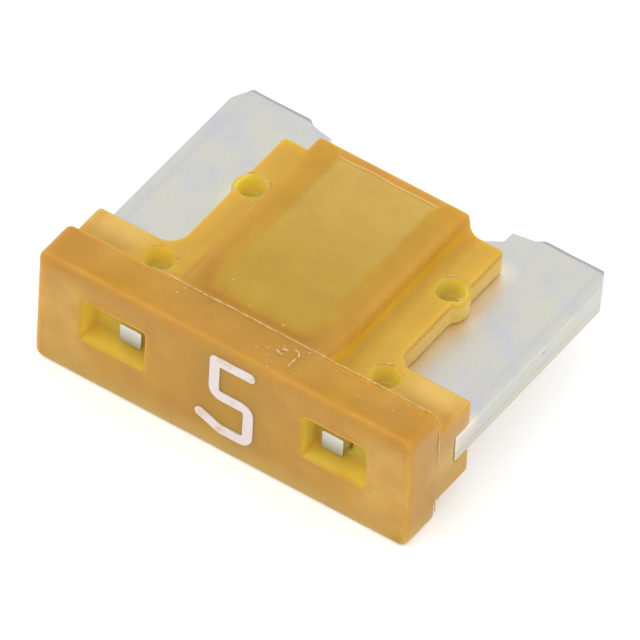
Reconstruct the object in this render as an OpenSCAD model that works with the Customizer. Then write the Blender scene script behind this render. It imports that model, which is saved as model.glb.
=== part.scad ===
// Low-profile mini blade fuse, lying flat on its broad side.
// X runs across the fuse, Y from the head's face towards the blade tips, Z is up.
// The pieces are drawn with Y = 0 on the head's face and Z = 0 on the parting plane,
// and placed() then moves them so that the fuse rests on Z = 0 and is centred in X and Y.

/* [Head] */
// Width of the fuse across its head, its wings and both blades
fuse_w = 10.9; // [10.5:0.1:12]
// Thickness of the head, which is also that of the raised body
head_t = 3.6; // [3.2:0.1:5]
// Depth of the head behind its face
head_d = 1.2; // [1:0.05:2]
// Radius of the head's four corners, seen on its face
head_corner_r = 0.26; // [0.26:0.02:0.8]
// Soft edge around the head's face
face_edge_r = 0.12; // [0.05:0.01:0.12]
// Small edge around the back of the head
back_edge_r = 0.05; // [0.02:0.01:0.1]

/* [Body] */
// Length of the body behind the head
body_l = 6.03; // [5.6:0.05:8]
// Reach of the wings behind the head
wing_l = 1.41; // [1.2:0.05:2]
// Thickness of the wings and of the two flanges
plate_t = 2.34; // [2:0.02:2.6]
// Width of each blade's inner margin that a flange covers
flange_grip = 0.57; // [0.4:0.01:0.8]
// Fillet between a wing and a flange
wing_root_r = 0.5; // [0.3:0.05:0.8]
// Soft edge all round the body
body_edge_r = 0.1; // [0.05:0.01:0.15]
// Width of the raised centre at its flat
crown_top_w = 4.4; // [4:0.05:4.5]
// Width of the raised centre where it meets the flanges
crown_base_w = 4.6; // [4.6:0.02:5.6]
// Fillet where the raised centre meets the flanges
crown_root_r = 0.25; // [0.1:0.05:0.4]

/* [Cavity] */
// Width of the chamber around the fusible link
chamber_w = 3.2; // [2.7:0.05:3.5]
// Wall left above and below the chamber
chamber_wall = 0.42; // [0.3:0.02:0.6]
// Web left between the head's face and the chamber
chamber_web = 1.35; // [1.2:0.05:2.1]
// Chamfer at the chamber's open mouth
mouth_chamfer = 0.28; // [0.1:0.02:0.4]
// Clearance on each side of the metal in its slot
slot_gap = 0.03; // [0.02:0.005:0.05]

/* [Test windows] */
// Width of a test window
window_w = 1.88; // [1.5:0.05:2.2]
// Height of a test window
window_h = 1.33; // [1.1:0.01:1.5]
// Depth of a test window below the face
window_d = 0.72; // [0.5:0.02:0.9]
// Distance of a test window's middle from the blade's inner edge
window_in = 0.59; // [0.5:0.01:0.8]
// Height of the windows' middle above the parting plane
window_lift = 0.17; // [0:0.01:0.2]
// Narrowing of a test window towards its floor, on each side
window_draft = 0.05; // [0.01:0.01:0.1]

/* [Stakes] */
// Mouth radius of a stake dimple
stake_r = 0.4; // [0.3:0.01:0.45]
// Floor radius of a stake dimple
stake_floor_r = 0.27; // [0.15:0.01:0.29]
// Depth of a stake dimple
stake_d = 0.5; // [0.3:0.02:0.6]
// Plastic pushed outwards around a flange's stake
stake_bulge = 0.1; // [0.05:0.01:0.15]
// Distance of a flange's stakes from the blade's inner edge
flange_stake_in = 0.26; // [0.2:0.01:0.3]
// Distance of the flanges' stakes behind the head's face
flange_stake_y = 5.4; // [4.5:0.05:6]
// Distance of a wing's stakes from the blade's inner edge
wing_stake_in = 0.65; // [0.5:0.01:0.9]
// Distance of the wings' stakes behind the back of the head
wing_stake_y = 0.86; // [0.7:0.01:1]

/* [Fuse element] */
// Width of a blade
blade_w = 2.8; // [2.6:0.05:3]
// Thickness of a blade
blade_t = 0.8; // [0.6:0.05:0.9]
// Length of a blade from its shoulder in the wing to its tip
blade_l = 6.75; // [6.2:0.05:9]
// Distance of the blades' shoulders behind the back of the head
shoulder_y = 0.78; // [0.6:0.02:1]
// Width of the chamfer at a tip's outer corner
tip_chamfer_x = 0.29; // [0.1:0.01:0.6]
// Length of the chamfer at a tip's outer corner
tip_chamfer_y = 0.53; // [0.2:0.01:0.9]
// Set-back of a tip at the blade's inner edge
tip_step = 0.24; // [0.05:0.01:0.4]
// Width of a tip's set-back inner part
tip_step_w = 0.62; // [0.3:0.02:1]
// Width of the slope from the set-back part to the full tip
tip_slope_w = 0.2; // [0.02:0.02:0.4]
// Width of the web that joins a blade to the link
web_w = 0.55; // [0.4:0.05:0.7]
// Reach of the web beyond the mouth of the body
web_out = 0.52; // [0.1:0.02:0.6]
// Rise of the web's end from its inner corner to the blade
web_slope = 0.4; // [0:0.02:0.6]
// Width of a test tab
tab_w = 0.65; // [0.5:0.01:0.8]
// Thickness of a test tab
tab_t = 0.56; // [0.4:0.02:0.6]
// Distance of a test tab's end below the face
tab_y = 0.38; // [0.2:0.02:0.6]
// Distance of a test tab's middle from the blade's inner edge
tab_in = 0.3; // [0.25:0.01:0.5]
// Width of the fusible link
link_w = 0.4; // [0.2:0.02:0.5]
// Thickness of the fusible link
link_t = 0.3; // [0.15:0.05:0.5]
// Radius of the link's two turns, to the middle of its width
link_r = 0.6; // [0.5:0.02:0.65]
// Length of the link's straight part between its turns
link_run = 0.7; // [0.4:0.05:0.8]

/* [Rating numeral] */
// Height of the numeral, between the middles of its strokes
numeral_h = 2.24; // [1.8:0.02:2.4]
// Width of the numeral's body, between the middles of its strokes
numeral_w = 1.02; // [0.8:0.02:1.2]
// Width of a stroke
stroke_w = 0.29; // [0.2:0.01:0.4]
// Radius of the numeral's bends, to the middle of the stroke
bend_r = 0.22; // [0.16:0.01:0.3]
// Reach of the tail beyond the numeral's left side
tail_out = 0.36; // [0.1:0.02:0.5]
// Rise of the tail above the numeral's foot
tail_rise = 0.25; // [0.1:0.02:0.4]
// Thickness of the ink
ink_t = 0.03; // [0.02:0.01:0.05]
// Distance of the numeral's middle to the right of the fuse's middle
numeral_x = 0.28; // [0:0.02:0.4]
// Height of the numeral's middle above the parting plane
numeral_lift = 0.12; // [0:0.02:0.2]

/* [Hidden] */
bury = 0.3;
cut = 1;
mouth_y = head_d + body_l;
blade_top_y = head_d + shoulder_y;
tip_y = blade_top_y + blade_l;
blade_out_x = fuse_w / 2;
blade_in_x = blade_out_x - blade_w;
flange_w = 2 * (blade_in_x + flange_grip);
window_x = blade_in_x + window_in;
tab_x = blade_in_x + tab_in;
flange_stake_x = blade_in_x + flange_stake_in;
wing_stake_x = blade_in_x + wing_stake_in;
slot_h = blade_t + 2 * slot_gap;
tab_slot_h = tab_t + 2 * slot_gap;
chamber_top = head_t / 2 - chamber_wall;
web_in_x = blade_in_x - web_w;
web_end_y = mouth_y + web_out;
link_mid_y = (chamber_web + mouth_y) / 2;
face_y = -(tip_y - ink_t) / 2;

module placed() {
    translate([0, face_y, head_t / 2]) children();
}

// Extrudes an outline drawn in X and Z along Y, from y0 over a length.
module along_y(y0, length) {
    translate([0, y0 + length, 0]) rotate([90, 0, 0]) linear_extrude(length) children();
}

// Extrudes an outline drawn in X and Y evenly to both sides of the parting plane.
module through(thickness) {
    translate([0, 0, -thickness / 2]) linear_extrude(thickness) children();
}

module both_sides() {
    children();
    mirror([1, 0, 0]) children();
}

module both_faces() {
    children();
    mirror([0, 0, 1]) children();
}

// The same for an outline, whose second axis becomes Z.
module both_levels() {
    children();
    mirror([0, 1]) children();
}

// A round of the head's corner radius, with the head's edge rounds at its two ends.
module head_corner() {
    rotate([-90, 0, 0]) rotate_extrude($fn = 48) {
        square([head_corner_r - face_edge_r, head_d]);
        translate([0, face_edge_r]) square([head_corner_r, head_d - face_edge_r - back_edge_r]);
        translate([head_corner_r - face_edge_r, face_edge_r]) circle(face_edge_r, $fn = 32);
        translate([head_corner_r - back_edge_r, head_d - back_edge_r]) circle(back_edge_r, $fn = 16);
    }
}

module head() {
    hull() for (side = [-1, 1], level = [-1, 1])
        translate([side * (fuse_w / 2 - head_corner_r), 0, level * (head_t / 2 - head_corner_r)])
            head_corner();
}

// Rounds the outer corners of an outline and fills its inner ones.
module softened(inner_r) {
    offset(r = body_edge_r, $fn = 24) offset(r = -body_edge_r - inner_r, $fn = 48)
        offset(delta = inner_r) children();
}

// The wings and flanges seen from above.
module plate_outline() {
    softened(wing_root_r) {
        translate([-fuse_w / 2, head_d - bury]) square([fuse_w, wing_l + bury]);
        translate([-flange_w / 2, head_d - bury]) square([flange_w, body_l + bury]);
    }
}

// The flanges and the raised centre seen along Y.
module crown_outline() {
    softened(crown_root_r) {
        square([flange_w, plate_t], center = true);
        both_levels() polygon([
            [-crown_base_w / 2, 0], [-crown_base_w / 2, plate_t / 2], [-crown_top_w / 2, head_t / 2],
            [crown_top_w / 2, head_t / 2], [crown_base_w / 2, plate_t / 2], [crown_base_w / 2, 0]
        ]);
    }
}

module body() {
    through(plate_t) plate_outline();
    along_y(head_d - bury, body_l + bury) crown_outline();
}

// The chamber around the link, seen along X, with its chamfered mouth.
module chamber() {
    rotate([90, 0, 90]) translate([0, 0, -chamber_w / 2]) linear_extrude(chamber_w) polygon([
        [chamber_web, -chamber_top], [mouth_y - mouth_chamfer, -chamber_top],
        [mouth_y, -chamber_top - mouth_chamfer], [mouth_y + cut, -chamber_top - mouth_chamfer],
        [mouth_y + cut, chamber_top + mouth_chamfer], [mouth_y, chamber_top + mouth_chamfer],
        [mouth_y - mouth_chamfer, chamber_top], [chamber_web, chamber_top]
    ]);
}

// The slot that takes the blades, open at the mouth and at the ends of the wings.
module blade_slot() {
    through(slot_h) translate([-fuse_w / 2 - cut, blade_top_y - slot_gap])
        square([fuse_w + 2 * cut, body_l + cut]);
}

// A test window in the face, and behind it the slot for the tab.
module test_window() {
    translate([window_x, 0, window_lift]) hull() {
        along_y(-window_draft, window_draft) square([window_w, window_h], center = true);
        along_y(window_d - window_draft, window_draft)
            square([window_w - 2 * window_draft, window_h - 2 * window_draft], center = true);
    }
    translate([tab_x, 0, 0]) along_y(window_d / 2, blade_top_y - window_d / 2)
        square([tab_w + 2 * slot_gap, tab_slot_h], center = true);
}

module stake(x, y) {
    translate([x, y, plate_t / 2 - stake_d]) rotate_extrude($fn = 48) polygon([
        [0, 0], [stake_floor_r, 0], [stake_r, stake_d], [stake_r, stake_d + cut], [0, stake_d + cut]
    ]);
}

module housing() {
    color("goldenrod", 0.85) placed() difference() {
        union() {
            head();
            body();
            both_faces() both_sides() translate([flange_stake_x, flange_stake_y, slot_h / 2])
                cylinder(h = (plate_t - slot_h) / 2 - body_edge_r, r = stake_r + stake_bulge, $fn = 48);
        }
        chamber();
        blade_slot();
        both_sides() test_window();
        both_faces() both_sides() {
            stake(flange_stake_x, flange_stake_y);
            stake(wing_stake_x, head_d + wing_stake_y);
        }
    }
}

// Outline of one blade with its stepped and chamfered tip, and the web towards the link.
module blade_outline() {
    polygon([
        [blade_in_x, blade_top_y], [blade_out_x, blade_top_y], [blade_out_x, tip_y - tip_chamfer_y],
        [blade_out_x - tip_chamfer_x, tip_y], [blade_in_x + tip_step_w + tip_slope_w, tip_y],
        [blade_in_x + tip_step_w, tip_y - tip_step / 2], [blade_in_x, tip_y - tip_step],
        [blade_in_x, web_end_y + web_slope], [web_in_x, web_end_y], [web_in_x, blade_top_y]
    ]);
}

// Half of the link: a straight run from the web, one turn, and half of the middle run.
module half_link() {
    translate([-link_run / 2, 2 * link_r - link_w / 2])
        square([web_in_x + link_run / 2 + link_w / 4, link_w]);
    translate([-link_run / 2, link_r]) difference() {
        circle(link_r + link_w / 2, $fn = 64);
        circle(link_r - link_w / 2, $fn = 64);
        translate([0, -link_r * 2]) square(link_r * 4);
    }
    translate([-link_run / 2, -link_w / 2]) square([link_run, link_w]);
}

module fuse_element() {
    color("silver") placed() {
        both_sides() {
            through(blade_t) blade_outline();
            through(tab_t) translate([tab_x - tab_w / 2, tab_y])
                square([tab_w, blade_top_y - tab_y + slot_gap]);
        }
        translate([0, link_mid_y, 0]) through(link_t) {
            half_link();
            rotate(180) half_link();
        }
    }
}

// One straight stroke with round ends between two points of the numeral.
module stroke(from, to) {
    way = to - from;
    translate(from) rotate(atan2(way.y, way.x)) {
        translate([0, -stroke_w / 2]) square([norm(way), stroke_w]);
        circle(stroke_w / 2, $fn = 32);
    }
    translate(to) circle(stroke_w / 2, $fn = 32);
}

// A quarter of a ring around a centre, starting at an angle.
module bend(centre, start) {
    translate(centre) rotate(start) intersection() {
        difference() {
            circle(bend_r + stroke_w / 2, $fn = 48);
            circle(bend_r - stroke_w / 2, $fn = 48);
        }
        square(bend_r + stroke_w);
    }
}

// The numeral 5 as strokes, drawn around its middle as seen on the face.
module numeral() {
    left = -numeral_w / 2;
    right = numeral_w / 2;
    top = numeral_h / 2;
    foot = -numeral_h / 2;
    stroke([left, top], [right, top]);
    stroke([left, top], [left, bend_r]);
    bend([left + bend_r, bend_r], 180);
    stroke([left + bend_r, 0], [right - bend_r, 0]);
    bend([right - bend_r, -bend_r], 0);
    stroke([right, -bend_r], [right, foot + bend_r]);
    bend([right - bend_r, foot + bend_r], 270);
    stroke([right - bend_r, foot], [left + bend_r, foot]);
    stroke([left + bend_r, foot], [left - tail_out, foot + tail_rise]);
}

module rating_mark() {
    color("white") placed() translate([numeral_x, 0, numeral_lift]) along_y(-ink_t, ink_t) numeral();
}

housing();
fuse_element();
rating_mark();
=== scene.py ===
import math
from functools import partial

import bmesh
import bpy
from mathutils import Matrix, Vector, bvhtree, noise


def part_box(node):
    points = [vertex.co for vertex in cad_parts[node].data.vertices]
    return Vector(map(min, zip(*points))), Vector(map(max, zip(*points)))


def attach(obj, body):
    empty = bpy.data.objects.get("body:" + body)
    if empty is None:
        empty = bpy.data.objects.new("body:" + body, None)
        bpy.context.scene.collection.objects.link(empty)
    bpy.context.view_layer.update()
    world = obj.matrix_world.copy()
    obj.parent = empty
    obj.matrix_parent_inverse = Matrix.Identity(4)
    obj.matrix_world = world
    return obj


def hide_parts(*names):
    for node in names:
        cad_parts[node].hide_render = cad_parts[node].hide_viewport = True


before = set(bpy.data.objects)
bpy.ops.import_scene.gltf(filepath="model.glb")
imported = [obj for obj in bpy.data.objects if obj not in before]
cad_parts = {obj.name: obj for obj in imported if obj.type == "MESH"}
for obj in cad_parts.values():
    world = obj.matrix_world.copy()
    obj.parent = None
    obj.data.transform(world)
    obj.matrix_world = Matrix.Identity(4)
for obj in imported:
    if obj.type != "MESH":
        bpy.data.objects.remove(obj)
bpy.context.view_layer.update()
mm = 0.001
print("frame loaded")

# Places on the fuse, in millimetres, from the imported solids.
housingLow, housingHigh = [Vector(corner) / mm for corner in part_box("housing")]
elementLow, elementHigh = [Vector(corner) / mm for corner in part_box("fuse_element")]
midZ = (housingLow.z + housingHigh.z) / 2
faceY = housingLow.y
mouthY = housingHigh.y
tipY = elementHigh.y
halfWidth = housingHigh.x

fuse = {
    "headDepth": 1.2,  # from the face to the back of the head
    "headCorner": 0.26,  # radius of the head's corners
    "headHalf": 1.8,  # half the head's thickness
    "plateHalf": 1.17,  # half the thickness of the wings and flanges
    "stakes": [(2.91, 5.4), (3.3, 2.06)],  # distance from the middle, and behind the face
    "stakeRadius": 0.4,
}


def hexLinear(text, alpha=1.0):
    # sRGB hex to the linear colour that a socket takes
    channels = [int(text[i:i + 2], 16) / 255 for i in (1, 3, 5)]
    linear = [c / 12.92 if c <= 0.04045 else ((c + 0.055) / 1.055) ** 2.4 for c in channels]
    return (*linear, alpha)


def setInputs(node, inputs):
    # each input is a value, or the node or socket that feeds it
    for socket, value in inputs.items() if isinstance(inputs, dict) else enumerate(inputs):
        if isinstance(value, bpy.types.Node):
            value = value.outputs[0]
        if isinstance(value, bpy.types.NodeSocket):
            node.id_data.links.new(value, node.inputs[socket])
        else:
            node.inputs[socket].default_value = value


def addNode(tree, kind, inputs=(), stops=(), **settings):
    # one node with its inputs, its settings and, on a ramp, its (position, hex) stops
    node = tree.nodes.new(kind)
    for key, value in settings.items():
        setattr(node, key, value)
    for number, (position, colour) in enumerate(stops):
        band = node.color_ramp.elements
        stop = band[number] if number < len(band) else band.new(position)
        stop.position = position
        stop.color = hexLinear(colour)
    setInputs(node, inputs)
    return node


def newMaterial(name):
    # a shader with the object's own coordinates in millimetres beside it
    material = bpy.data.materials.new(name)
    material.use_nodes = True
    tree = material.node_tree
    tree.nodes.clear()
    add = partial(addNode, tree)
    shader = add("ShaderNodeBsdfPrincipled")
    add("ShaderNodeOutputMaterial", {"Surface": shader})
    place = add("ShaderNodeMapping", {"Vector": add("ShaderNodeTexCoord").outputs["Object"],
                                      "Scale": (1 / mm, 1 / mm, 1 / mm)})
    return material, add, shader, place


def layered(add, tone, layers):
    # colours laid over a tone one after another: share, colour and, where not plain, the blend
    for share, colour, *blend in layers:
        colour = hexLinear(colour) if isinstance(colour, str) else colour
        tone = add("ShaderNodeMix", {0: share, 6: tone, 7: colour}, data_type="RGBA",
                   blend_type=blend[0] if blend else "MIX").outputs[2]
    return tone


def placeShares(add, measures, zones, places):
    # a zone fades with one measure, and a place's share is the product of its zones
    zone = {name: add("ShaderNodeMapRange", (measures[measure], *fade))
            for name, (measure, *fade) in zones.items()}
    shares = {}
    for place, names in places.items():
        shares[place] = zone[names[0]]
        for name in names[1:]:
            shares[place] = add("ShaderNodeMath", (shares[place], zone[name]),
                                operation="MULTIPLY")
    return shares


nylon = {
    # colour by depth of plastic with nothing behind it: a thin wall over the dark chamber is
    # olive, a solid wall is orange and the thick head is tan
    "depths": [(0.0, "#C3A038"), (0.19, "#C19C33"), (0.30, "#C39826"), (0.52, "#C08E1C"),
               (0.72, "#C39230"), (1.0, "#C6943B")],
    "deepest": 2.4,  # depth in mm at the ramp's end
    "thinWall": (0.22, 0.3),  # the roof of the chamber on the same scale, and a wall beyond it
    "openEnd": "#CFAF55",  # the chamber's roof near its open mouth, where light comes in
    "openFrom": 2.5,  # mm behind the face, where it begins to come in
    "rim": "#C79038",  # the chamber's inner edge, seen through its roof
    "rimWidth": 0.3,  # mm from the mouth to that edge
    "rimWaver": 0.16,  # mm that the edge wavers, as cooled nylon does
    "rimFade": (0.0, 0.06, 0.0, 0.85),  # mm beyond the edge, and the rim's share there
    # a darker line and a painted highlight at that edge: mm beyond it, mm that they fade over,
    # share and colour
    "rimLineAndHighlight": [(-0.045, 0.035, 0.55, "#A88331"), (0.02, 0.03, 0.75, "#E0C880")],
    "overMetal": "#D6B044",  # a wall that lies on the bright metal: painted light that the metal sends back through it
    # the same painted light on the wings
    "wingOverMetal": "#F0CF74",
    "besideMetal": "#F0C868",  # a side that stands on a blade and is lit by it
    "recess": "#E6BC38",  # corners and pockets, which light reaches through the plastic
    "windowGlow": "#EDD45A",  # the same in the windows, which the thick head lights all round
    "stakeWall": "#E7D160",  # the cone of a stake, lit through its own rim
    # the stake's visible floor, in painted shade
    "stakeFloorShade": "#D3A93B",
    "crownRoot": "#B5801F",  # the solid sides of the raised centre, deeper near the head
    "flangeFoot": "#DCA92C",  # beside the raised centre, lit by the metal next to it
    "wingRoot": "#BA8729",  # the wing beside the head, in painted shade, as no metal behind it sends light back
    "wingEdge": "#A9782E",  # the rounded edges of the wings, which turn the light away
    "lowFace": "#D1AF5B",  # the foot of the head, lit from the floor under it
    # where tones lie: a measure, where a zone starts and ends on it, and the share at either.
    # Lengths are in mm, levelness is 1 on a level face, and depth is on the ramp's scale.
    "zones": {
        "onWing": ("aside", 3.5, 4.2, 0.0, 1.0),
        "besideCrown": ("aside", 2.1, 2.3, 0.0, 1.0),
        "behindWindows": ("back", 0.8, 1.0, 0.0, 1.0),
        "behindHead": ("back", 1.2, 1.35, 0.0, 1.0),
        "nearHead": ("back", 2.4, 5.0, 1.0, 0.0),
        "onCrown": ("height", 1.6, 1.75, 0.0, 0.8),
        "onFlange": ("offPlate", 0.12, 0.36, 0.9, 0.0),
        "nearFloor": ("up", 0.1, 0.75, 0.9, 0.0),
        "levelFace": ("levelness", 0.8, 0.95, 0.0, 1.0),
        "leaning": ("levelness", 0.3, 0.45, 0.0, 1.0),
        "rounded": ("offRound", 0.1, 0.28, 0.6, 0.0),
        "solidWall": ("depth", 0.45, 0.6, 0.0, 1.0),
    },
    "places": {
        "wing": ("onWing",),
        "insideHead": ("behindWindows",),
        "crownRoot": ("onCrown", "nearHead", "behindHead", "solidWall"),
        "flangeFoot": ("onFlange", "besideCrown", "leaning", "behindHead"),
        "wingRoot": ("levelFace", "onWing", "behindHead"),
        "wingEdge": ("rounded", "onWing", "behindHead"),
        "lowFace": ("nearFloor", "solidWall"),
    },
    "roundLevel": 0.7,  # levelness in the middle of a rounded edge
    "clouding": [(0.3, "#F3F0EE"), (0.7, "#FFFFFF")],
    "flowGrain": 0.9,  # mm between the soft flow clouds of the moulding
    "fineGrain": 0.05,  # mm, fine orange peel of the mould's spark-eroded finish
    "gloss": (0.3, 0.7, 0.3, 0.44),  # roughness over the clouds' range
    "scatter": (1.1, 0.62, 0.2),  # mm that red, green and blue travel inside
    # what each point of the form knows, and the passes that blur it as scattered light does
    "known": {"plasticDepth": 3, "metalBehind": 3, "besideMetal": 2, "recess": 2,
              "stakeWall": 1, "stakeFloorShade": 2},
}


def roofTone(add, depth, y, clouds):
    # the tone by depth, in which the chamber's roof pales towards the mouth and shows its rim
    thin = add("ShaderNodeMapRange", (depth, *nylon["thinWall"], 1.0, 0.0))
    nearMouth = add("ShaderNodeMapRange", (y, faceY + nylon["openFrom"], mouthY, 0.0, 1.0))
    lit = add("ShaderNodeMath", (thin, nearMouth), operation="MULTIPLY")
    rimY = mouthY - nylon["rimWidth"] + nylon["rimWaver"] / 2
    inner = add("ShaderNodeMath", (y, rimY), operation="SUBTRACT")
    inner = add("ShaderNodeMath", (clouds, nylon["rimWaver"], inner), operation="MULTIPLY_ADD")
    beyond = add("ShaderNodeMapRange", (inner, *nylon["rimFade"]))
    beyond = add("ShaderNodeMath", (beyond, thin), operation="MULTIPLY")
    layers = [(lit, nylon["openEnd"]), (beyond, nylon["rim"])]
    # a darker line and a painted highlight along the chamber's edge, seen through the roof
    for offset, width, share, colour in nylon["rimLineAndHighlight"]:
        away = add("ShaderNodeMath", (inner, offset), operation="SUBTRACT")
        away = add("ShaderNodeMath", [away], operation="ABSOLUTE")
        line = add("ShaderNodeMapRange", (away, 0.0, width, share, 0.0))
        line = add("ShaderNodeMath", (line, thin), operation="MULTIPLY")
        layers.append((line, colour))
    return layered(add, add("ShaderNodeValToRGB", [depth], nylon["depths"]), layers)


def nylonShares(add, depth, place):
    # how much of each place's tone a point has
    x, y, z = add("ShaderNodeSeparateXYZ", [place]).outputs
    normal = add("ShaderNodeSeparateXYZ", [add("ShaderNodeNewGeometry").outputs["Normal"]])
    height = add("ShaderNodeMath", (z, midZ), operation="SUBTRACT")
    height = add("ShaderNodeMath", [height], operation="ABSOLUTE")
    levelness = add("ShaderNodeMath", [normal.outputs["Z"]], operation="ABSOLUTE")
    offPlate = add("ShaderNodeMath", (height, fuse["plateHalf"]), operation="SUBTRACT")
    offRound = add("ShaderNodeMath", (levelness, nylon["roundLevel"]), operation="SUBTRACT")
    return placeShares(add, {
        "aside": add("ShaderNodeMath", [x], operation="ABSOLUTE"),
        "back": add("ShaderNodeMath", (y, faceY), operation="SUBTRACT"),
        "up": z, "height": height, "levelness": levelness, "depth": depth,
        "offPlate": add("ShaderNodeMath", [offPlate], operation="ABSOLUTE"),
        "offRound": add("ShaderNodeMath", [offRound], operation="ABSOLUTE"),
    }, nylon["zones"], nylon["places"])


def nylonMaterial():
    # PA66, injection moulded, unfilled and tinted: light enters, scatters and leaves amber,
    # so pockets glow, solid walls look deeper and the gloss is soft
    material, add, shader, place = newMaterial("pa66MouldedAmber")
    seen = {name: add("ShaderNodeAttribute", attribute_name=name).outputs["Fac"]
            for name in nylon["known"]}
    clouds = add("ShaderNodeTexNoise", {"Vector": place, "Scale": 1 / nylon["flowGrain"],
                                        "Detail": 4.0, "Roughness": 0.6})
    peel = add("ShaderNodeTexNoise", {"Vector": place, "Scale": 1 / nylon["fineGrain"],
                                      "Detail": 2.0})
    y = add("ShaderNodeSeparateXYZ", [place]).outputs["Y"]
    shares = nylonShares(add, seen["plasticDepth"], place)
    # painted light from the metal behind the wall
    overMetal = layered(add, hexLinear(nylon["overMetal"]),
                        [(shares["wing"], nylon["wingOverMetal"])])
    glow = layered(add, hexLinear(nylon["windowGlow"]),
                   [(shares["insideHead"], nylon["recess"])])
    clouding = add("ShaderNodeValToRGB", [clouds], nylon["clouding"]).outputs["Color"]
    # over the tone by depth: painted light from metal, pockets and floor; painted shade at the
    # wing's root and on the stakes' floors
    tone = layered(add, roofTone(add, seen["plasticDepth"], y, clouds), [
        (shares["crownRoot"], nylon["crownRoot"]), (shares["flangeFoot"], nylon["flangeFoot"]),
        (shares["wingRoot"], nylon["wingRoot"]), (seen["metalBehind"], overMetal),
        (seen["besideMetal"], nylon["besideMetal"]), (shares["wingEdge"], nylon["wingEdge"]),
        (shares["lowFace"], nylon["lowFace"]), (seen["recess"], glow),
        (1.0, clouding, "MULTIPLY"), (seen["stakeWall"], nylon["stakeWall"]),
        (seen["stakeFloorShade"], nylon["stakeFloorShade"])])
    setInputs(shader, {
        "Base Color": tone, "Roughness": add("ShaderNodeMapRange", (clouds, *nylon["gloss"])),
        "IOR": 1.53, "Specular IOR Level": 0.32, "Subsurface Weight": 0.75,
        "Subsurface Radius": nylon["scatter"], "Subsurface Scale": mm, "Normal": add(
            "ShaderNodeBump", {"Height": peel, "Strength": 0.5, "Distance": 0.003 * mm})})
    return material


scuffAndHighlight = {
    "colours": [(0.32, "#CFA04C"), (0.5, "#D9B470"), (0.68, "#E6CB98")],
    "grain": 0.08,  # mm, uneven whitening
}


def scuffAndHighlightMaterial():
    # the same nylon where it is stretched or scraped: it turns whitish and matt
    # it also draws the painted highlights on the stakes' rims
    material, add, shader, place = newMaterial("pa66WhitenedAndHighlit")
    grain = add("ShaderNodeTexNoise", {"Vector": place, "Scale": 1 / scuffAndHighlight["grain"],
                                       "Detail": 2.0})
    tone = add("ShaderNodeValToRGB", [grain], scuffAndHighlight["colours"])
    setInputs(shader, {"Base Color": tone, "Roughness": 0.5})
    return material


zinc = {
    "clouding": [(0.3, "#D8D8DE"), (0.5, "#DFDFD8"), (0.7, "#E2E2D5")],
    "cloud": 0.9,  # mm, soft patches of the plating
    "satin": [(0.35, "#F6F6F6"), (0.65, "#FFFFFF")],
    "grain": 0.035,  # mm, satin grain; finer on the real strip, coarse enough to show here
    "gloss": (0.3, 0.7, 0.34, 0.5),  # roughness over the clouds' range
    "pits": "#6E7076",
    "pitEvery": 1.3,  # mm between possible pits
    "waveEvery": 0.45,  # mm between the waves of the edges' traces
    "sheared": "#EBEBEA",  # the sides, made a little darker than the top
    "torn": "#CDC8BA",
    "tearLine": "#A3A3A6",
    "tearZ": -0.1,  # mm over the middle plane, where the sheared side turns into the torn one
    "tearWaver": 0.3,  # mm that this line wavers
    "streak": "#CFCFD8",  # a burnished streak along each blade's outer edge
    "streakIn": 0.22,  # mm from that edge
    "streakWaver": 0.2,
    "roll": "#B6B6BE",  # the edge of the tips, bent over by the cutter, in painted shade
    "rollWaver": 0.05,
    "tabEndShading": [(0.0, "#B2B9BF"), (1.0, "#DAD9D5")],  # the tabs' cut ends, from low to high: painted shade low, a painted highlight high
    "tabHeight": (-0.15, 0.28),  # mm over the middle plane
    "nearPlastic": "#F8ECE2",  # lit through the nylon beside it
    # where traces lie: a measure, where a zone starts and ends on it, the share at either
    "zones": {
        "upright": ("levelness", 0.2, 0.5, 1.0, 0.0),
        "levelFace": ("levelness", 0.2, 0.5, 0.0, 1.0),
        "underTear": ("overTear", -0.02, 0.02, 1.0, 0.0),
        "atTear": ("offTear", 0.008, 0.03, 0.4, 0.0),
        "atStreak": ("offStreak", 0.0, 0.16, 0.5, 0.0),
        "atTip": ("pastTip", -0.09, -0.03, 0.0, 0.9),
        "upperHalf": ("height", 0.2, 0.3, 0.0, 1.0),
        "atFace": ("back", 0.42, 0.5, 1.0, 0.0),
        "inPit": ("offPit", 0.025, 0.05, 0.5, 0.0),
    },
    "places": {
        "pits": ("inPit",),
        "streak": ("atStreak", "levelFace"),
        "roll": ("atTip", "upperHalf"),
        "sheared": ("upright",),
        "torn": ("underTear", "upright"),
        "tearLine": ("atTear", "upright"),
        "tabEndShading": ("atFace",),
    },
}


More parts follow.
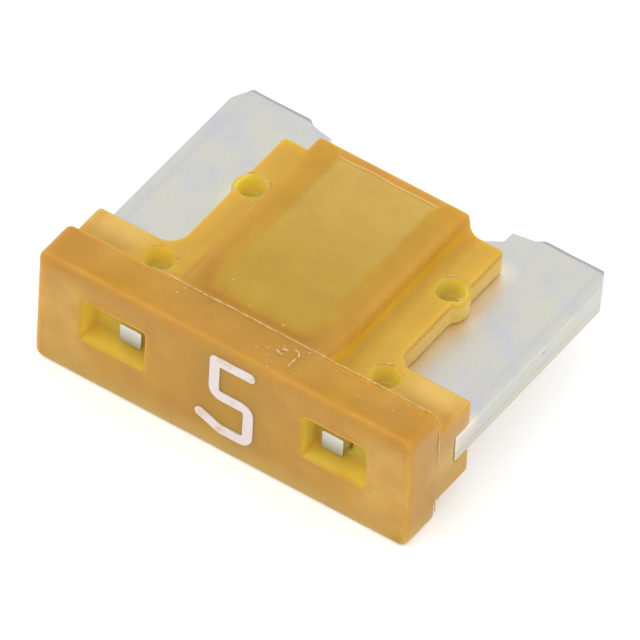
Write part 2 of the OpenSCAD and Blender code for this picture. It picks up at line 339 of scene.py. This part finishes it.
def zincShares(add, place, height):
    # how much of each trace of the stamping a point has
    wave = add("ShaderNodeTexNoise", {"Vector": place, "Scale": 1 / zinc["waveEvery"],
                                      "Detail": 3.0})
    cells = add("ShaderNodeTexVoronoi", {"Vector": place, "Scale": 1 / zinc["pitEvery"]},
                feature="F1")
    x, y, _ = add("ShaderNodeSeparateXYZ", [place]).outputs
    normal = add("ShaderNodeSeparateXYZ", [add("ShaderNodeNewGeometry").outputs["Normal"]])
    tear = add("ShaderNodeMath", (wave, zinc["tearWaver"], zinc["tearZ"]
                                  - zinc["tearWaver"] / 2), operation="MULTIPLY_ADD")
    overTear = add("ShaderNodeMath", (height, tear), operation="SUBTRACT")
    aside = add("ShaderNodeMath", [x], operation="ABSOLUTE")
    streak = add("ShaderNodeMath", (wave, zinc["streakWaver"], zinc["streakIn"] - halfWidth),
                 operation="MULTIPLY_ADD")
    streak = add("ShaderNodeMath", (aside, streak), operation="ADD")
    tip = add("ShaderNodeMath", (wave, zinc["rollWaver"], y), operation="MULTIPLY_ADD")
    return placeShares(add, {
        "levelness": add("ShaderNodeMath", [normal.outputs["Z"]], operation="ABSOLUTE"),
        "overTear": overTear, "height": height, "offPit": cells,
        "offTear": add("ShaderNodeMath", [overTear], operation="ABSOLUTE"),
        "offStreak": add("ShaderNodeMath", [streak], operation="ABSOLUTE"),
        "pastTip": add("ShaderNodeMath", (tip, tipY), operation="SUBTRACT"),
        "back": add("ShaderNodeMath", (y, faceY), operation="SUBTRACT"),
    }, zinc["zones"], zinc["places"])


def zincMaterial():
    # zinc alloy strip, stamped and tin plated: a pale satin metal with faint cloudy patches,
    # a fine grain, a few dark pits, and the line between sheared and torn metal on its sides
    # the tips' rolled edges and the tabs' lower ends carry painted shade, the tabs' tops a
    # painted highlight
    material, add, shader, place = newMaterial("zincStampedTinPlated")
    clouds = add("ShaderNodeTexNoise", {"Vector": place, "Scale": 1 / zinc["cloud"],
                                        "Detail": 5.0, "Roughness": 0.62})
    grain = add("ShaderNodeTexNoise", {"Vector": place, "Scale": 1 / zinc["grain"],
                                       "Detail": 2.0})
    z = add("ShaderNodeSeparateXYZ", [place]).outputs["Z"]
    height = add("ShaderNodeMath", (z, midZ), operation="SUBTRACT")
    shares = zincShares(add, place, height)
    satin = add("ShaderNodeValToRGB", [grain], zinc["satin"]).outputs["Color"]
    # the tabs' ends, in painted shade low and a painted highlight high
    tabHeight = add("ShaderNodeMapRange", (height, *zinc["tabHeight"], 0.0, 1.0))
    tabEndShading = add("ShaderNodeValToRGB", [tabHeight], zinc["tabEndShading"]).outputs["Color"]
    beside = add("ShaderNodeAttribute", attribute_name="nearPlastic").outputs["Fac"]
    tone = layered(add, add("ShaderNodeValToRGB", [clouds], zinc["clouding"]), [
        (1.0, satin, "MULTIPLY"), (shares["pits"], zinc["pits"]),
        (shares["streak"], zinc["streak"]), (shares["roll"], zinc["roll"]),
        (beside, zinc["nearPlastic"]), (shares["sheared"], zinc["sheared"], "MULTIPLY"),
        (shares["torn"], zinc["torn"]), (shares["tearLine"], zinc["tearLine"]),
        (shares["tabEndShading"], tabEndShading)])
    setInputs(shader, {
        "Base Color": tone, "Roughness": add("ShaderNodeMapRange", (clouds, *zinc["gloss"])),
        "Metallic": 1.0, "Normal": add("ShaderNodeBump", {
            "Height": grain, "Strength": 0.6, "Distance": 0.002 * mm})})
    return material


ink = {
    # thin spots, where the amber shows through, and the covering white
    "colours": [(0.28, "#DDC3A6"), (0.42, "#EADFDD")],
    "cloud": 0.35,  # mm, uneven ink
}


def inkMaterial():
    # pad printing ink, white and matt, a little thin in places so that the amber tints it
    material, add, shader, place = newMaterial("padPrintedWhiteInk")
    clouds = add("ShaderNodeTexNoise", {"Vector": place, "Scale": 1 / ink["cloud"],
                                        "Detail": 3.0})
    tone = add("ShaderNodeValToRGB", [clouds], ink["colours"])
    setInputs(shader, {"Base Color": tone, "Roughness": 0.55, "Normal": add(
        "ShaderNodeBump", {"Height": clouds, "Strength": 0.5, "Distance": 0.004 * mm})})
    return material


materials = {"nylon": nylonMaterial(), "scuffedAndHighlit": scuffAndHighlightMaterial(), "zinc": zincMaterial(),
             "ink": inkMaterial()}
print("materials made")


def meshOfNode(name):
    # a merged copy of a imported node's mesh, in millimetres
    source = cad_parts[name]
    mesh = source.data.copy()
    mesh.transform(Matrix.Scale(1 / mm, 4) @ source.matrix_world)
    mesh.materials.clear()
    work = bmesh.new()
    work.from_mesh(mesh)
    bmesh.ops.remove_doubles(work, verts=work.verts, dist=0.0005)  # mm
    work.to_mesh(mesh)
    work.free()
    return mesh


def workObject(name, data):
    piece = bpy.data.objects.new(name, data)
    bpy.context.scene.collection.objects.link(piece)
    return piece


def plainMesh(piece):
    # the mesh that an object's modifiers make; the object itself goes
    bpy.context.view_layer.update()
    graph = bpy.context.evaluated_depsgraph_get()
    mesh = bpy.data.meshes.new_from_object(piece.evaluated_get(graph))
    bpy.data.objects.remove(piece)
    for polygon in mesh.polygons:
        polygon.use_smooth = True
    return mesh


def recast(name, mesh, ways):
    # resolves a closed form on a fine grid, softens its edges and drops needless faces
    rough = workObject(name, mesh)
    grid = rough.modifiers.new("grid", "REMESH")
    grid.mode = "VOXEL"
    grid.voxel_size = ways["grid"]
    soften = rough.modifiers.new("soften", "SMOOTH")
    soften.iterations = ways["softening"]
    soften.factor = 0.5  # of the way to a point's neighbours, on each pass
    thin = rough.modifiers.new("thin", "DECIMATE")
    thin.ratio = ways["kept"]
    return plainMesh(rough)


def finished(name, mesh, material, node=None):
    # a mesh in millimetres becomes a piece of the fuse in metres
    mesh.transform(Matrix.Scale(mm, 4))
    mesh.materials.clear()
    mesh.materials.append(material)
    piece = workObject(name, mesh)
    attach(piece, "root")
    if node:
        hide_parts(node)


moulding = {
    "grid": 0.042,  # mm, the step at which the moulding's form is resolved
    "softening": 5,  # passes that round its edges as a mould's do
    "kept": 0.3,  # share of the faces kept; more of them stay on edges than on flats
    "longest": 0.2,  # mm, the longest edge, so that the colour can follow the walls
    "splits": 6,  # times that longer edges are halved at most
    "inward": (0.5, 6),  # spread and number of the rays that look into the plastic
    "outward": (0.9, 8),  # and of those that look away from it
    "off": 0.02,  # mm from the surface, where a ray starts
    "metalGap": 0.12,  # mm, metal this close behind a wall shows through it
    "metalReach": 1.2,  # mm, how far a blade lights the side that stands on it
    "metalGain": 3.0,
    "pocket": 2.0,  # mm, how far a facing wall may be for a point to lie in a pocket
    "pocketGain": 3.4,
    # a stake's cone and its visible floor, which is in painted shade: mm down from the wing, mm
    # round it, mm that it is seen shifted towards the head, and share
    "stakeWall": (0.04, 0.42, 0.0, 0.9),
    "stakeFloorShade": (0.3, 0.27, 0.06, 0.7),
}


def cone(axis, spread, count):
    # an axis and a ring of directions around it
    side = axis.orthogonal().normalized()
    other = axis.cross(side)
    turns = [2 * math.pi * k / count for k in range(count)]
    return [axis] + [(axis + spread * (side * math.cos(t) + other * math.sin(t))).normalized()
                     for t in turns]


def lookInside(point, inward, solid, metal):
    # how much plastic lies under a point, and whether metal lies behind that
    furthest, off = nylon["deepest"], moulding["off"]
    total, hits = 0, 0
    rays = cone(inward, *moulding["inward"])
    for ray in rays:
        start = point + ray * off
        wall = solid.ray_cast(start, ray, furthest)[3]
        behind = metal.ray_cast(start, ray, furthest)[3]
        wall = furthest if wall is None else wall + off
        total += wall
        hits += behind is not None and behind < wall + moulding["metalGap"]
    return {"plasticDepth": total / len(rays) / furthest, "metalBehind": hits / len(rays)}


def lookOutside(point, outward, solid, metal):
    # whether metal lies beside a point, and how deep in a pocket it is
    pocket = moulding["pocket"]
    blocked, metals = 0, 0
    rays = cone(outward, *moulding["outward"])
    for ray in rays:
        start = point + ray * moulding["off"]
        near = solid.ray_cast(start, ray, pocket)[3]
        blade = metal.ray_cast(start, ray, moulding["metalReach"])[3]
        blocked += near is not None and 1 - near / pocket
        metals += blade is not None and (near is None or blade < near)
    return {"besideMetal": min(1.0, moulding["metalGain"] * metals / len(rays)),
            "recess": min(1.0, moulding["pocketGain"] * blocked / len(rays))}


def lookForStake(point):
    # whether a point is on the cone or the floor of a stake
    sunk = fuse["plateHalf"] - abs(point.z - midZ)
    found = {"stakeWall": 0, "stakeFloorShade": 0}
    for part in found:
        down, reach, shift, share = moulding[part]
        for aside, back in fuse["stakes"]:
            out = math.hypot(abs(point.x) - aside, point.y - faceY - back + shift)
            if sunk > down and out < reach:
                found[part] = share
    return found


def treeOf(mesh):
    # a mesh made ready for rays
    work = bmesh.new()
    work.from_mesh(mesh)
    tree = bvhtree.BVHTree.FromBMesh(work)
    work.free()
    return tree


def lookIntoPlastic(mesh, metalMesh):
    # keeps at each point what lies under it and around it
    solid, metal = treeOf(mesh), treeOf(metalMesh)
    work = bmesh.new()
    work.from_mesh(mesh)
    work.normal_update()
    seen = {name: [] for name in nylon["known"]}
    for vert in work.verts:
        found = lookInside(vert.co, -vert.normal, solid, metal)
        found.update(lookOutside(vert.co, vert.normal, solid, metal))
        found.update(lookForStake(vert.co))
        for name, value in found.items():
            seen[name].append(value)
    for name, passes in nylon["known"].items():
        values = seen[name]
        for _ in range(passes):
            values = [0.5 * values[v.index] + 0.5 * sum(values[e.other_vert(v).index]
                      for e in v.link_edges) / max(1, len(v.link_edges)) for v in work.verts]
        mesh.attributes.new(name, "FLOAT", "POINT").data.foreach_set("value", values)
    work.free()


def splitLongEdges(mesh):
    work = bmesh.new()
    work.from_mesh(mesh)
    bmesh.ops.triangulate(work, faces=work.faces)
    for _ in range(moulding["splits"]):
        long = [e for e in work.edges if e.calc_length() > moulding["longest"]]
        if not long:
            break
        bmesh.ops.subdivide_edges(work, edges=long, cuts=1)
        bmesh.ops.triangulate(work, faces=[f for f in work.faces if len(f.verts) > 3])
    for face in work.faces:
        face.smooth = True
    work.to_mesh(mesh)
    work.free()


def buildHousing():
    mesh = recast("housingWork", meshOfNode("housing"), moulding)
    splitLongEdges(mesh)
    lookIntoPlastic(mesh, meshOfNode("fuse_element"))
    print("housing", len(mesh.vertices), "points", len(mesh.polygons), "faces")
    finished("amberHousing", mesh, materials["nylon"], "housing")


stamping = {
    "grid": 0.032,  # mm, the step at which the metal's form is resolved
    "softening": 4,  # passes that roll its edges over as the punch does
    "kept": 0.25,
    "wander": 0.02,  # mm, unevenness of the sheared edge
    "wanderFrom": 0.4,  # mm beyond the mouth where it begins, and again to its full size
    "ripple": 1.8,  # ripples for each mm along the sheared edge
    "rippleLevel": 4.0,  # mm, the level at which the ripples' noise is read
    "seed": 4,  # of that noise, which would differ from run to run without it
    "tipRoll": 0.13,  # mm of the tip that the cutter bends over
    "tipUpper": 0.2,  # mm over the middle plane, from where its edge is pressed down
    "tipDrop": 0.02,
    "tipDraw": 0.045,  # mm that it draws the tip out
    "glow": 0.45,  # mm around the nylon that is lit through it
}


def buildElement():
    mesh = recast("elementWork", meshOfNode("fuse_element"), stamping)
    walls = treeOf(meshOfNode("housing"))
    near = [1 - min(1.0, walls.find_nearest(v.co)[3] / stamping["glow"]) for v in mesh.vertices]
    mesh.attributes.new("nearPlastic", "FLOAT", "POINT").data.foreach_set("value", near)
    begin = stamping["wanderFrom"]
    noise.seed_set(stamping["seed"])
    for vert in mesh.vertices:
        place = Vector((vert.co.x, vert.co.y, stamping["rippleLevel"]))
        drift = noise.noise_vector(place * stamping["ripple"])
        free = min(1.0, max(0.0, (vert.co.y - mouthY - begin) / begin))
        rolled = min(1.0, max(0.0, (vert.co.y - tipY) / stamping["tipRoll"] + 1))
        vert.co.y += stamping["wander"] * drift.y * free + stamping["tipDraw"] * rolled
        if vert.co.z > midZ + stamping["tipUpper"]:
            vert.co.z -= stamping["tipDrop"] * rolled ** 2
    print("element", len(mesh.polygons), "faces")
    finished("zincElement", mesh, materials["zinc"], "fuse_element")


def newGeometryTree(name, inputs):
    # a geometry node tree with named inputs; gives the adder of its nodes and the inputs
    tree = bpy.data.node_groups.new(name, "GeometryNodeTree")
    tree.interface.new_socket("Geometry", in_out="INPUT", socket_type="NodeSocketGeometry")
    for label, kind in inputs.items():
        tree.interface.new_socket(label, in_out="INPUT", socket_type=f"NodeSocket{kind}")
    tree.interface.new_socket("Geometry", in_out="OUTPUT", socket_type="NodeSocketGeometry")
    add = partial(addNode, tree)
    return tree, add, add("NodeGroupInput").outputs


def closeTree(add, geometry, material):
    real = add("GeometryNodeRealizeInstances", [geometry])
    painted = add("GeometryNodeSetMaterial", {"Geometry": real, "Material": material})
    add("NodeGroupOutput", [painted])


def grown(name, data, tree, values):
    # the plain mesh that a tree makes of an object, its inputs set by identifier
    carrier = workObject(name, data)
    modifier = carrier.modifiers.new("nodes", "NODES")
    modifier.node_group = tree
    for item in tree.interface.items_tree:
        if item.in_out == "INPUT" and item.name in values:
            modifier[item.identifier] = values[item.name]
    return plainMesh(carrier)


bead = {
    "swells": 3.1,  # swells and bends for each mm of a thread
    "swellRange": (0.35, 0.65),  # the noise that makes a thread thinnest and thickest
    "sides": 8,
}


def beadTree():
    # a thread of uneven thickness along each curve, half sunk in the surface under it
    tree, add, given = newGeometryTree("bead", {
        "Radius": "Float", "Unevenness": "Float", "Wander": "Float", "Step": "Float",
        "Seed": "Int"})
    fine = add("GeometryNodeResampleCurve", {"Curve": given["Geometry"],
                                             "Length": given["Step"]}, mode="LENGTH")
    ripple = add("ShaderNodeTexNoise", {
        "Vector": add("GeometryNodeInputPosition"), "W": given["Seed"],
        "Scale": bead["swells"], "Detail": 3.0}, noise_dimensions="4D")
    centred = add("ShaderNodeVectorMath", (ripple.outputs["Color"], (0.5, 0.5, 0.5)),
                  operation="SUBTRACT")
    drift = add("ShaderNodeVectorMath", {0: centred, "Scale": given["Wander"]},
                operation="SCALE")
    moved = add("GeometryNodeSetPosition", {"Geometry": fine, "Offset": drift})
    swell = add("ShaderNodeMapRange", (ripple, *bead["swellRange"], -1.0, 1.0))
    size = add("ShaderNodeMath", (swell, given["Unevenness"], 1.0), operation="MULTIPLY_ADD")
    size = add("ShaderNodeMath", (given["Radius"], size), operation="MULTIPLY")
    ring = add("GeometryNodeCurvePrimitiveCircle", {"Resolution": bead["sides"],
                                                    "Radius": 1.0})
    tube = add("GeometryNodeCurveToMesh", {"Curve": moved, "Profile Curve": ring,
                                           "Scale": size, "Fill Caps": True})
    closeTree(add, tube, materials["scuffedAndHighlit"])
    return tree


def curvesOf(name, paths):
    data = bpy.data.curves.new(name, "CURVE")
    data.dimensions = "3D"
    for path in paths:
        spline = data.splines.new("POLY")
        spline.points.add(len(path) - 1)
        for point, place in zip(spline.points, path):
            point.co = (*place, 1.0)
    return data


def arcPath(centre, radius, start, sweep, z, steps=14):
    turns = [math.radians(start + sweep * i / steps) for i in range(steps + 1)]
    return [(centre[0] + radius * math.cos(t), centre[1] + radius * math.sin(t), z)
            for t in turns]


seam = {
    "from": -2.9,  # mm from the middle, where the line of flash starts across the head
    "bends": (0.0, 2.5),  # further points on its way across
    "until": -1.45,  # mm over the middle plane, how far it reaches down the head's end
    "inset": 0.01,  # mm in front of the head's back
    "cornerSteps": 6,
    "thread": {"Radius": 0.016, "Unevenness": 0.65, "Wander": 0.05, "Step": 0.04, "Seed": 3},
}


def buildSeam(tree):
    # along the back edge of the head's top, round its corner and down its right end
    corner = fuse["headCorner"]
    y = faceY + fuse["headDepth"] - seam["inset"]
    top = midZ + fuse["headHalf"]
    path = [(x, y, top) for x in (seam["from"], *seam["bends"], halfWidth - corner)]
    for i in range(1, seam["cornerSteps"] + 1):
        turn = math.pi / 2 * i / seam["cornerSteps"]
        path.append((halfWidth - corner + corner * math.sin(turn), y,
                     top - corner + corner * math.cos(turn)))
    path.append((halfWidth, y, midZ + seam["until"]))
    mesh = grown("seam", curvesOf("seam", [path]), tree, seam["thread"])
    finished("flashLine", mesh, materials["scuffedAndHighlit"])


gate = {
    # strokes on the head's top: centre from the middle and behind the face, radius, start and
    # sweep in degrees
    "arcs": [((1.46, 0.82), 0.13, -20, 130), ((2.6, 0.52), 1.03, 169, 19),
             ((1.2, 0.9), 0.25, 235, 50), ((1.24, 0.72), 0.11, 60, 100)],
    "thread": {"Radius": 0.028, "Unevenness": 0.6, "Wander": 0.06, "Step": 0.03, "Seed": 8},
}


def buildGate(tree):
    # the scraped mark where the moulding was cut from its runner
    paths = [arcPath((x, faceY + back), radius, start, sweep, midZ + fuse["headHalf"])
             for (x, back), radius, start, sweep in gate["arcs"]]
    mesh = grown("gate", curvesOf("gate", paths), tree, gate["thread"])
    finished("gateVestige", mesh, materials["scuffedAndHighlit"])


rimHighlights = {
    # painted highlights on each stake's rim, drawn as pale arcs on the side that catches the
    # light: start and sweep in degrees, for the left (-1) and right (1) stake of the flanges
    # and then of the wings
    "arcs": [{-1: [(20, 80), (115, 45)], 1: [(25, 45), (80, 55), (330, 30)]},
             {-1: [(30, 40), (110, 40)], 1: [(40, 35), (95, 60)]}],
    "outset": 0.02,  # mm beyond the stake's edge
    "thread": {"Radius": 0.02, "Unevenness": 0.6, "Wander": 0.03, "Step": 0.03, "Seed": 5},
}


def buildRimHighlights(tree):
    # painted highlights: pale arcs laid on the lit side of each stake's rim
    radius = fuse["stakeRadius"] + rimHighlights["outset"]
    paths = [arcPath((side * aside, faceY + back), radius, start, sweep,
                     midZ + fuse["plateHalf"])
             for (aside, back), sides in zip(fuse["stakes"], rimHighlights["arcs"])
             for side, arcs in sides.items() for start, sweep in arcs]
    mesh = grown("rimHighlights", curvesOf("rimHighlights", paths), tree, rimHighlights["thread"])
    finished("stakeRimHighlights", mesh, materials["scuffedAndHighlit"])


specks = {
    # patches that catch scuffs: low and high corner behind the face, z, specks for each mm2
    "patches": [((-4.9, 0.1), (4.9, 1.1), 1.8, 1.6), ((-2.1, 1.3), (2.1, 2.0), 1.8, 1.4),
                ((-2.1, 2.0), (2.1, 6.7), 1.8, 0.15), ((0.4, 0.3), (1.9, 1.1), 1.8, 6.0)],
    "crumbs": {"Smallest": 0.012, "Largest": 0.032, "Seed": 11},  # radii in mm
    "stretch": ((0.6, 0.6, 0.35), (1.9, 1.0, 0.5)),  # of a crumb along its axes, least and most
}


def speckTree():
    # small flat crumbs scattered over the patches, each patch with its own density
    tree, add, given = newGeometryTree("specks", {"Smallest": "Float", "Largest": "Float",
                                                  "Seed": "Int"})
    seed = given["Seed"]
    density = add("GeometryNodeInputNamedAttribute", {"Name": "density"}, data_type="FLOAT")
    points = add("GeometryNodeDistributePointsOnFaces", {
        "Mesh": given["Geometry"], "Density": density, "Seed": seed})
    crumb = add("GeometryNodeMeshIcoSphere", {"Radius": 1.0, "Subdivisions": 2})
    turn = add("FunctionNodeRandomValue", {0: (0, 0, 0), 1: (0, 0, 6.28), "Seed": seed},
               data_type="FLOAT_VECTOR")
    least, most = specks["stretch"]
    size = add("FunctionNodeRandomValue", {2: given["Smallest"], 3: given["Largest"],
                                           "Seed": seed}, data_type="FLOAT").outputs[1]
    shape = add("FunctionNodeRandomValue", {0: least, 1: most, "Seed": seed},
                data_type="FLOAT_VECTOR")
    scale = add("ShaderNodeVectorMath", {0: shape, "Scale": size}, operation="SCALE")
    placed = add("GeometryNodeInstanceOnPoints", {
        "Points": points, "Instance": crumb, "Rotation": turn, "Scale": scale})
    closeTree(add, placed, materials["scuffedAndHighlit"])
    return tree


def buildSpecks():
    mesh = bpy.data.meshes.new("speckPatches")
    corners, faces, densities = [], [], []
    for low, high, level, density in specks["patches"]:
        first = len(corners)
        corners += [(x, faceY + y, midZ + level) for x, y in
                    (low, (high[0], low[1]), high, (low[0], high[1]))]
        faces.append(range(first, first + 4))
        densities += [density] * 4
    mesh.from_pydata(corners, [], faces)
    mesh.attributes.new("density", "FLOAT", "POINT").data.foreach_set("value", densities)
    crumbs = grown("specks", mesh, speckTree(), specks["crumbs"])
    print("specks", len(crumbs.polygons), "faces")
    finished("scuffSpecks", crumbs, materials["scuffedAndHighlit"])


buildHousing()
print("housing built")
buildElement()
print("element built")
beads = beadTree()
buildSeam(beads)
buildGate(beads)
buildRimHighlights(beads)
buildSpecks()
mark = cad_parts["rating_mark"]
mark.data.materials.clear()
mark.data.materials.append(materials["ink"])
print("pieces built")

camera = {
    "azimuth": 32.256,  # degrees, to the right of the view straight at the face
    "elevation": 45.993,
    "roll": 3.258,
    "distance": 422.3,  # mm, far off, so that the lines stay nearly parallel
    "aim": (0, faceY + 4.3, midZ),
    "slide": (-0.081, -0.569),  # mm across the view, right and up
    "scale": 41.46,  # pixels for each mm at the aim
    "picture": 640,  # pixels across
    "sensor": 36,  # mm
    "clip": (0.05, 20),  # m
}


def buildCamera():
    azimuth, elevation, roll = [math.radians(camera[key])
                                for key in ("azimuth", "elevation", "roll")]
    back = Vector((math.sin(azimuth) * math.cos(elevation),
                   -math.cos(azimuth) * math.cos(elevation), math.sin(elevation)))
    level = Vector((0, 0, 1)).cross(back).normalized()
    rise = back.cross(level)
    right = level * math.cos(roll) + rise * math.sin(roll)
    up = rise * math.cos(roll) - level * math.sin(roll)
    data = bpy.data.cameras.new("camera")
    data.sensor_width = camera["sensor"]
    data.lens = camera["scale"] * camera["distance"] * camera["sensor"] / camera["picture"]
    data.clip_start, data.clip_end = camera["clip"]
    across, over = camera["slide"]
    spot = Vector(camera["aim"]) + right * across + up * over + back * camera["distance"]
    turn = Matrix((right, up, back)).transposed()
    eye = workObject("camera", data)
    eye.matrix_world = Matrix.Translation(spot * mm) @ turn.to_4x4()
    bpy.context.scene.camera = eye


studio = {
    "floorSize": 0.6,  # m
    "floorColour": "#F4F4F4",
    "floorLift": 0.3,  # white added to the floor for the eye alone
    "skyStrength": 0.93,
    "backColour": "#E1E1E1",  # the tent low at the back; it is white elsewhere
    # how far up and how far back that reaches, in parts of the tent's half, and its shares
    "low": (0.0, 0.7, 1.0, 0.0),
    "back": (0.1, 0.9, 0.0, 1.0),
    "lamps": [  # place in mm, size in mm, watts
        ((-90, -120, 220), 160, 0.11),
        ((160, 60, 180), 160, 0.05),
    ],
}


def buildSky():
    world = bpy.data.worlds.new("tent")
    bpy.context.scene.world = world
    world.use_nodes = True
    add = partial(addNode, world.node_tree)
    _, y, z = add("ShaderNodeSeparateXYZ",
                  [add("ShaderNodeTexCoord").outputs["Generated"]]).outputs
    low = add("ShaderNodeMapRange", (z, *studio["low"]))
    behind = add("ShaderNodeMapRange", (y, *studio["back"]))
    shade = add("ShaderNodeMath", (low, behind), operation="MULTIPLY")
    tone = layered(add, hexLinear("#FFFFFF"), [(shade, studio["backColour"])])
    setInputs(world.node_tree.nodes["Background"], {
        "Color": tone, "Strength": studio["skyStrength"]})


def buildStudio():
    buildSky()
    for number, (place, size, power) in enumerate(studio["lamps"]):
        lamp = bpy.data.lights.new(f"softbox{number}", "AREA")
        lamp.shape = "DISK"
        lamp.size = size * mm
        lamp.energy = power
        holder = workObject(f"softbox{number}", lamp)
        holder.location = Vector(place) * mm
        holder.rotation_euler = (Vector(place) - Vector((0, 0, midZ))).to_track_quat(
            "Z", "Y").to_euler()
    # the floor is a pale card whose white shows only to the eye and in reflections
    material, add, shader, _ = newMaterial("paperFloorMatt")
    rays = add("ShaderNodeLightPath").outputs
    seen = add("ShaderNodeMath", (rays["Is Camera Ray"], rays["Is Glossy Ray"]),
               operation="MAXIMUM")
    seen = add("ShaderNodeMath", (seen, rays["Is Transmission Ray"]), operation="MAXIMUM")
    lift = add("ShaderNodeMath", (seen, studio["floorLift"]), operation="MULTIPLY")
    setInputs(shader, {
        "Base Color": hexLinear(studio["floorColour"]), "Roughness": 0.9,
        "Emission Color": hexLinear("#FFFFFF"), "Emission Strength": lift})
    half = studio["floorSize"] / 2
    mesh = bpy.data.meshes.new("floor")
    mesh.from_pydata([(-half, -half, 0), (half, -half, 0), (half, half, 0), (-half, half, 0)],
                     [], [(0, 1, 2, 3)])
    mesh.materials.append(material)
    workObject("floor", mesh)


buildCamera()
buildStudio()
bpy.context.scene.view_settings.view_transform = "Standard"
print("camera and studio set")
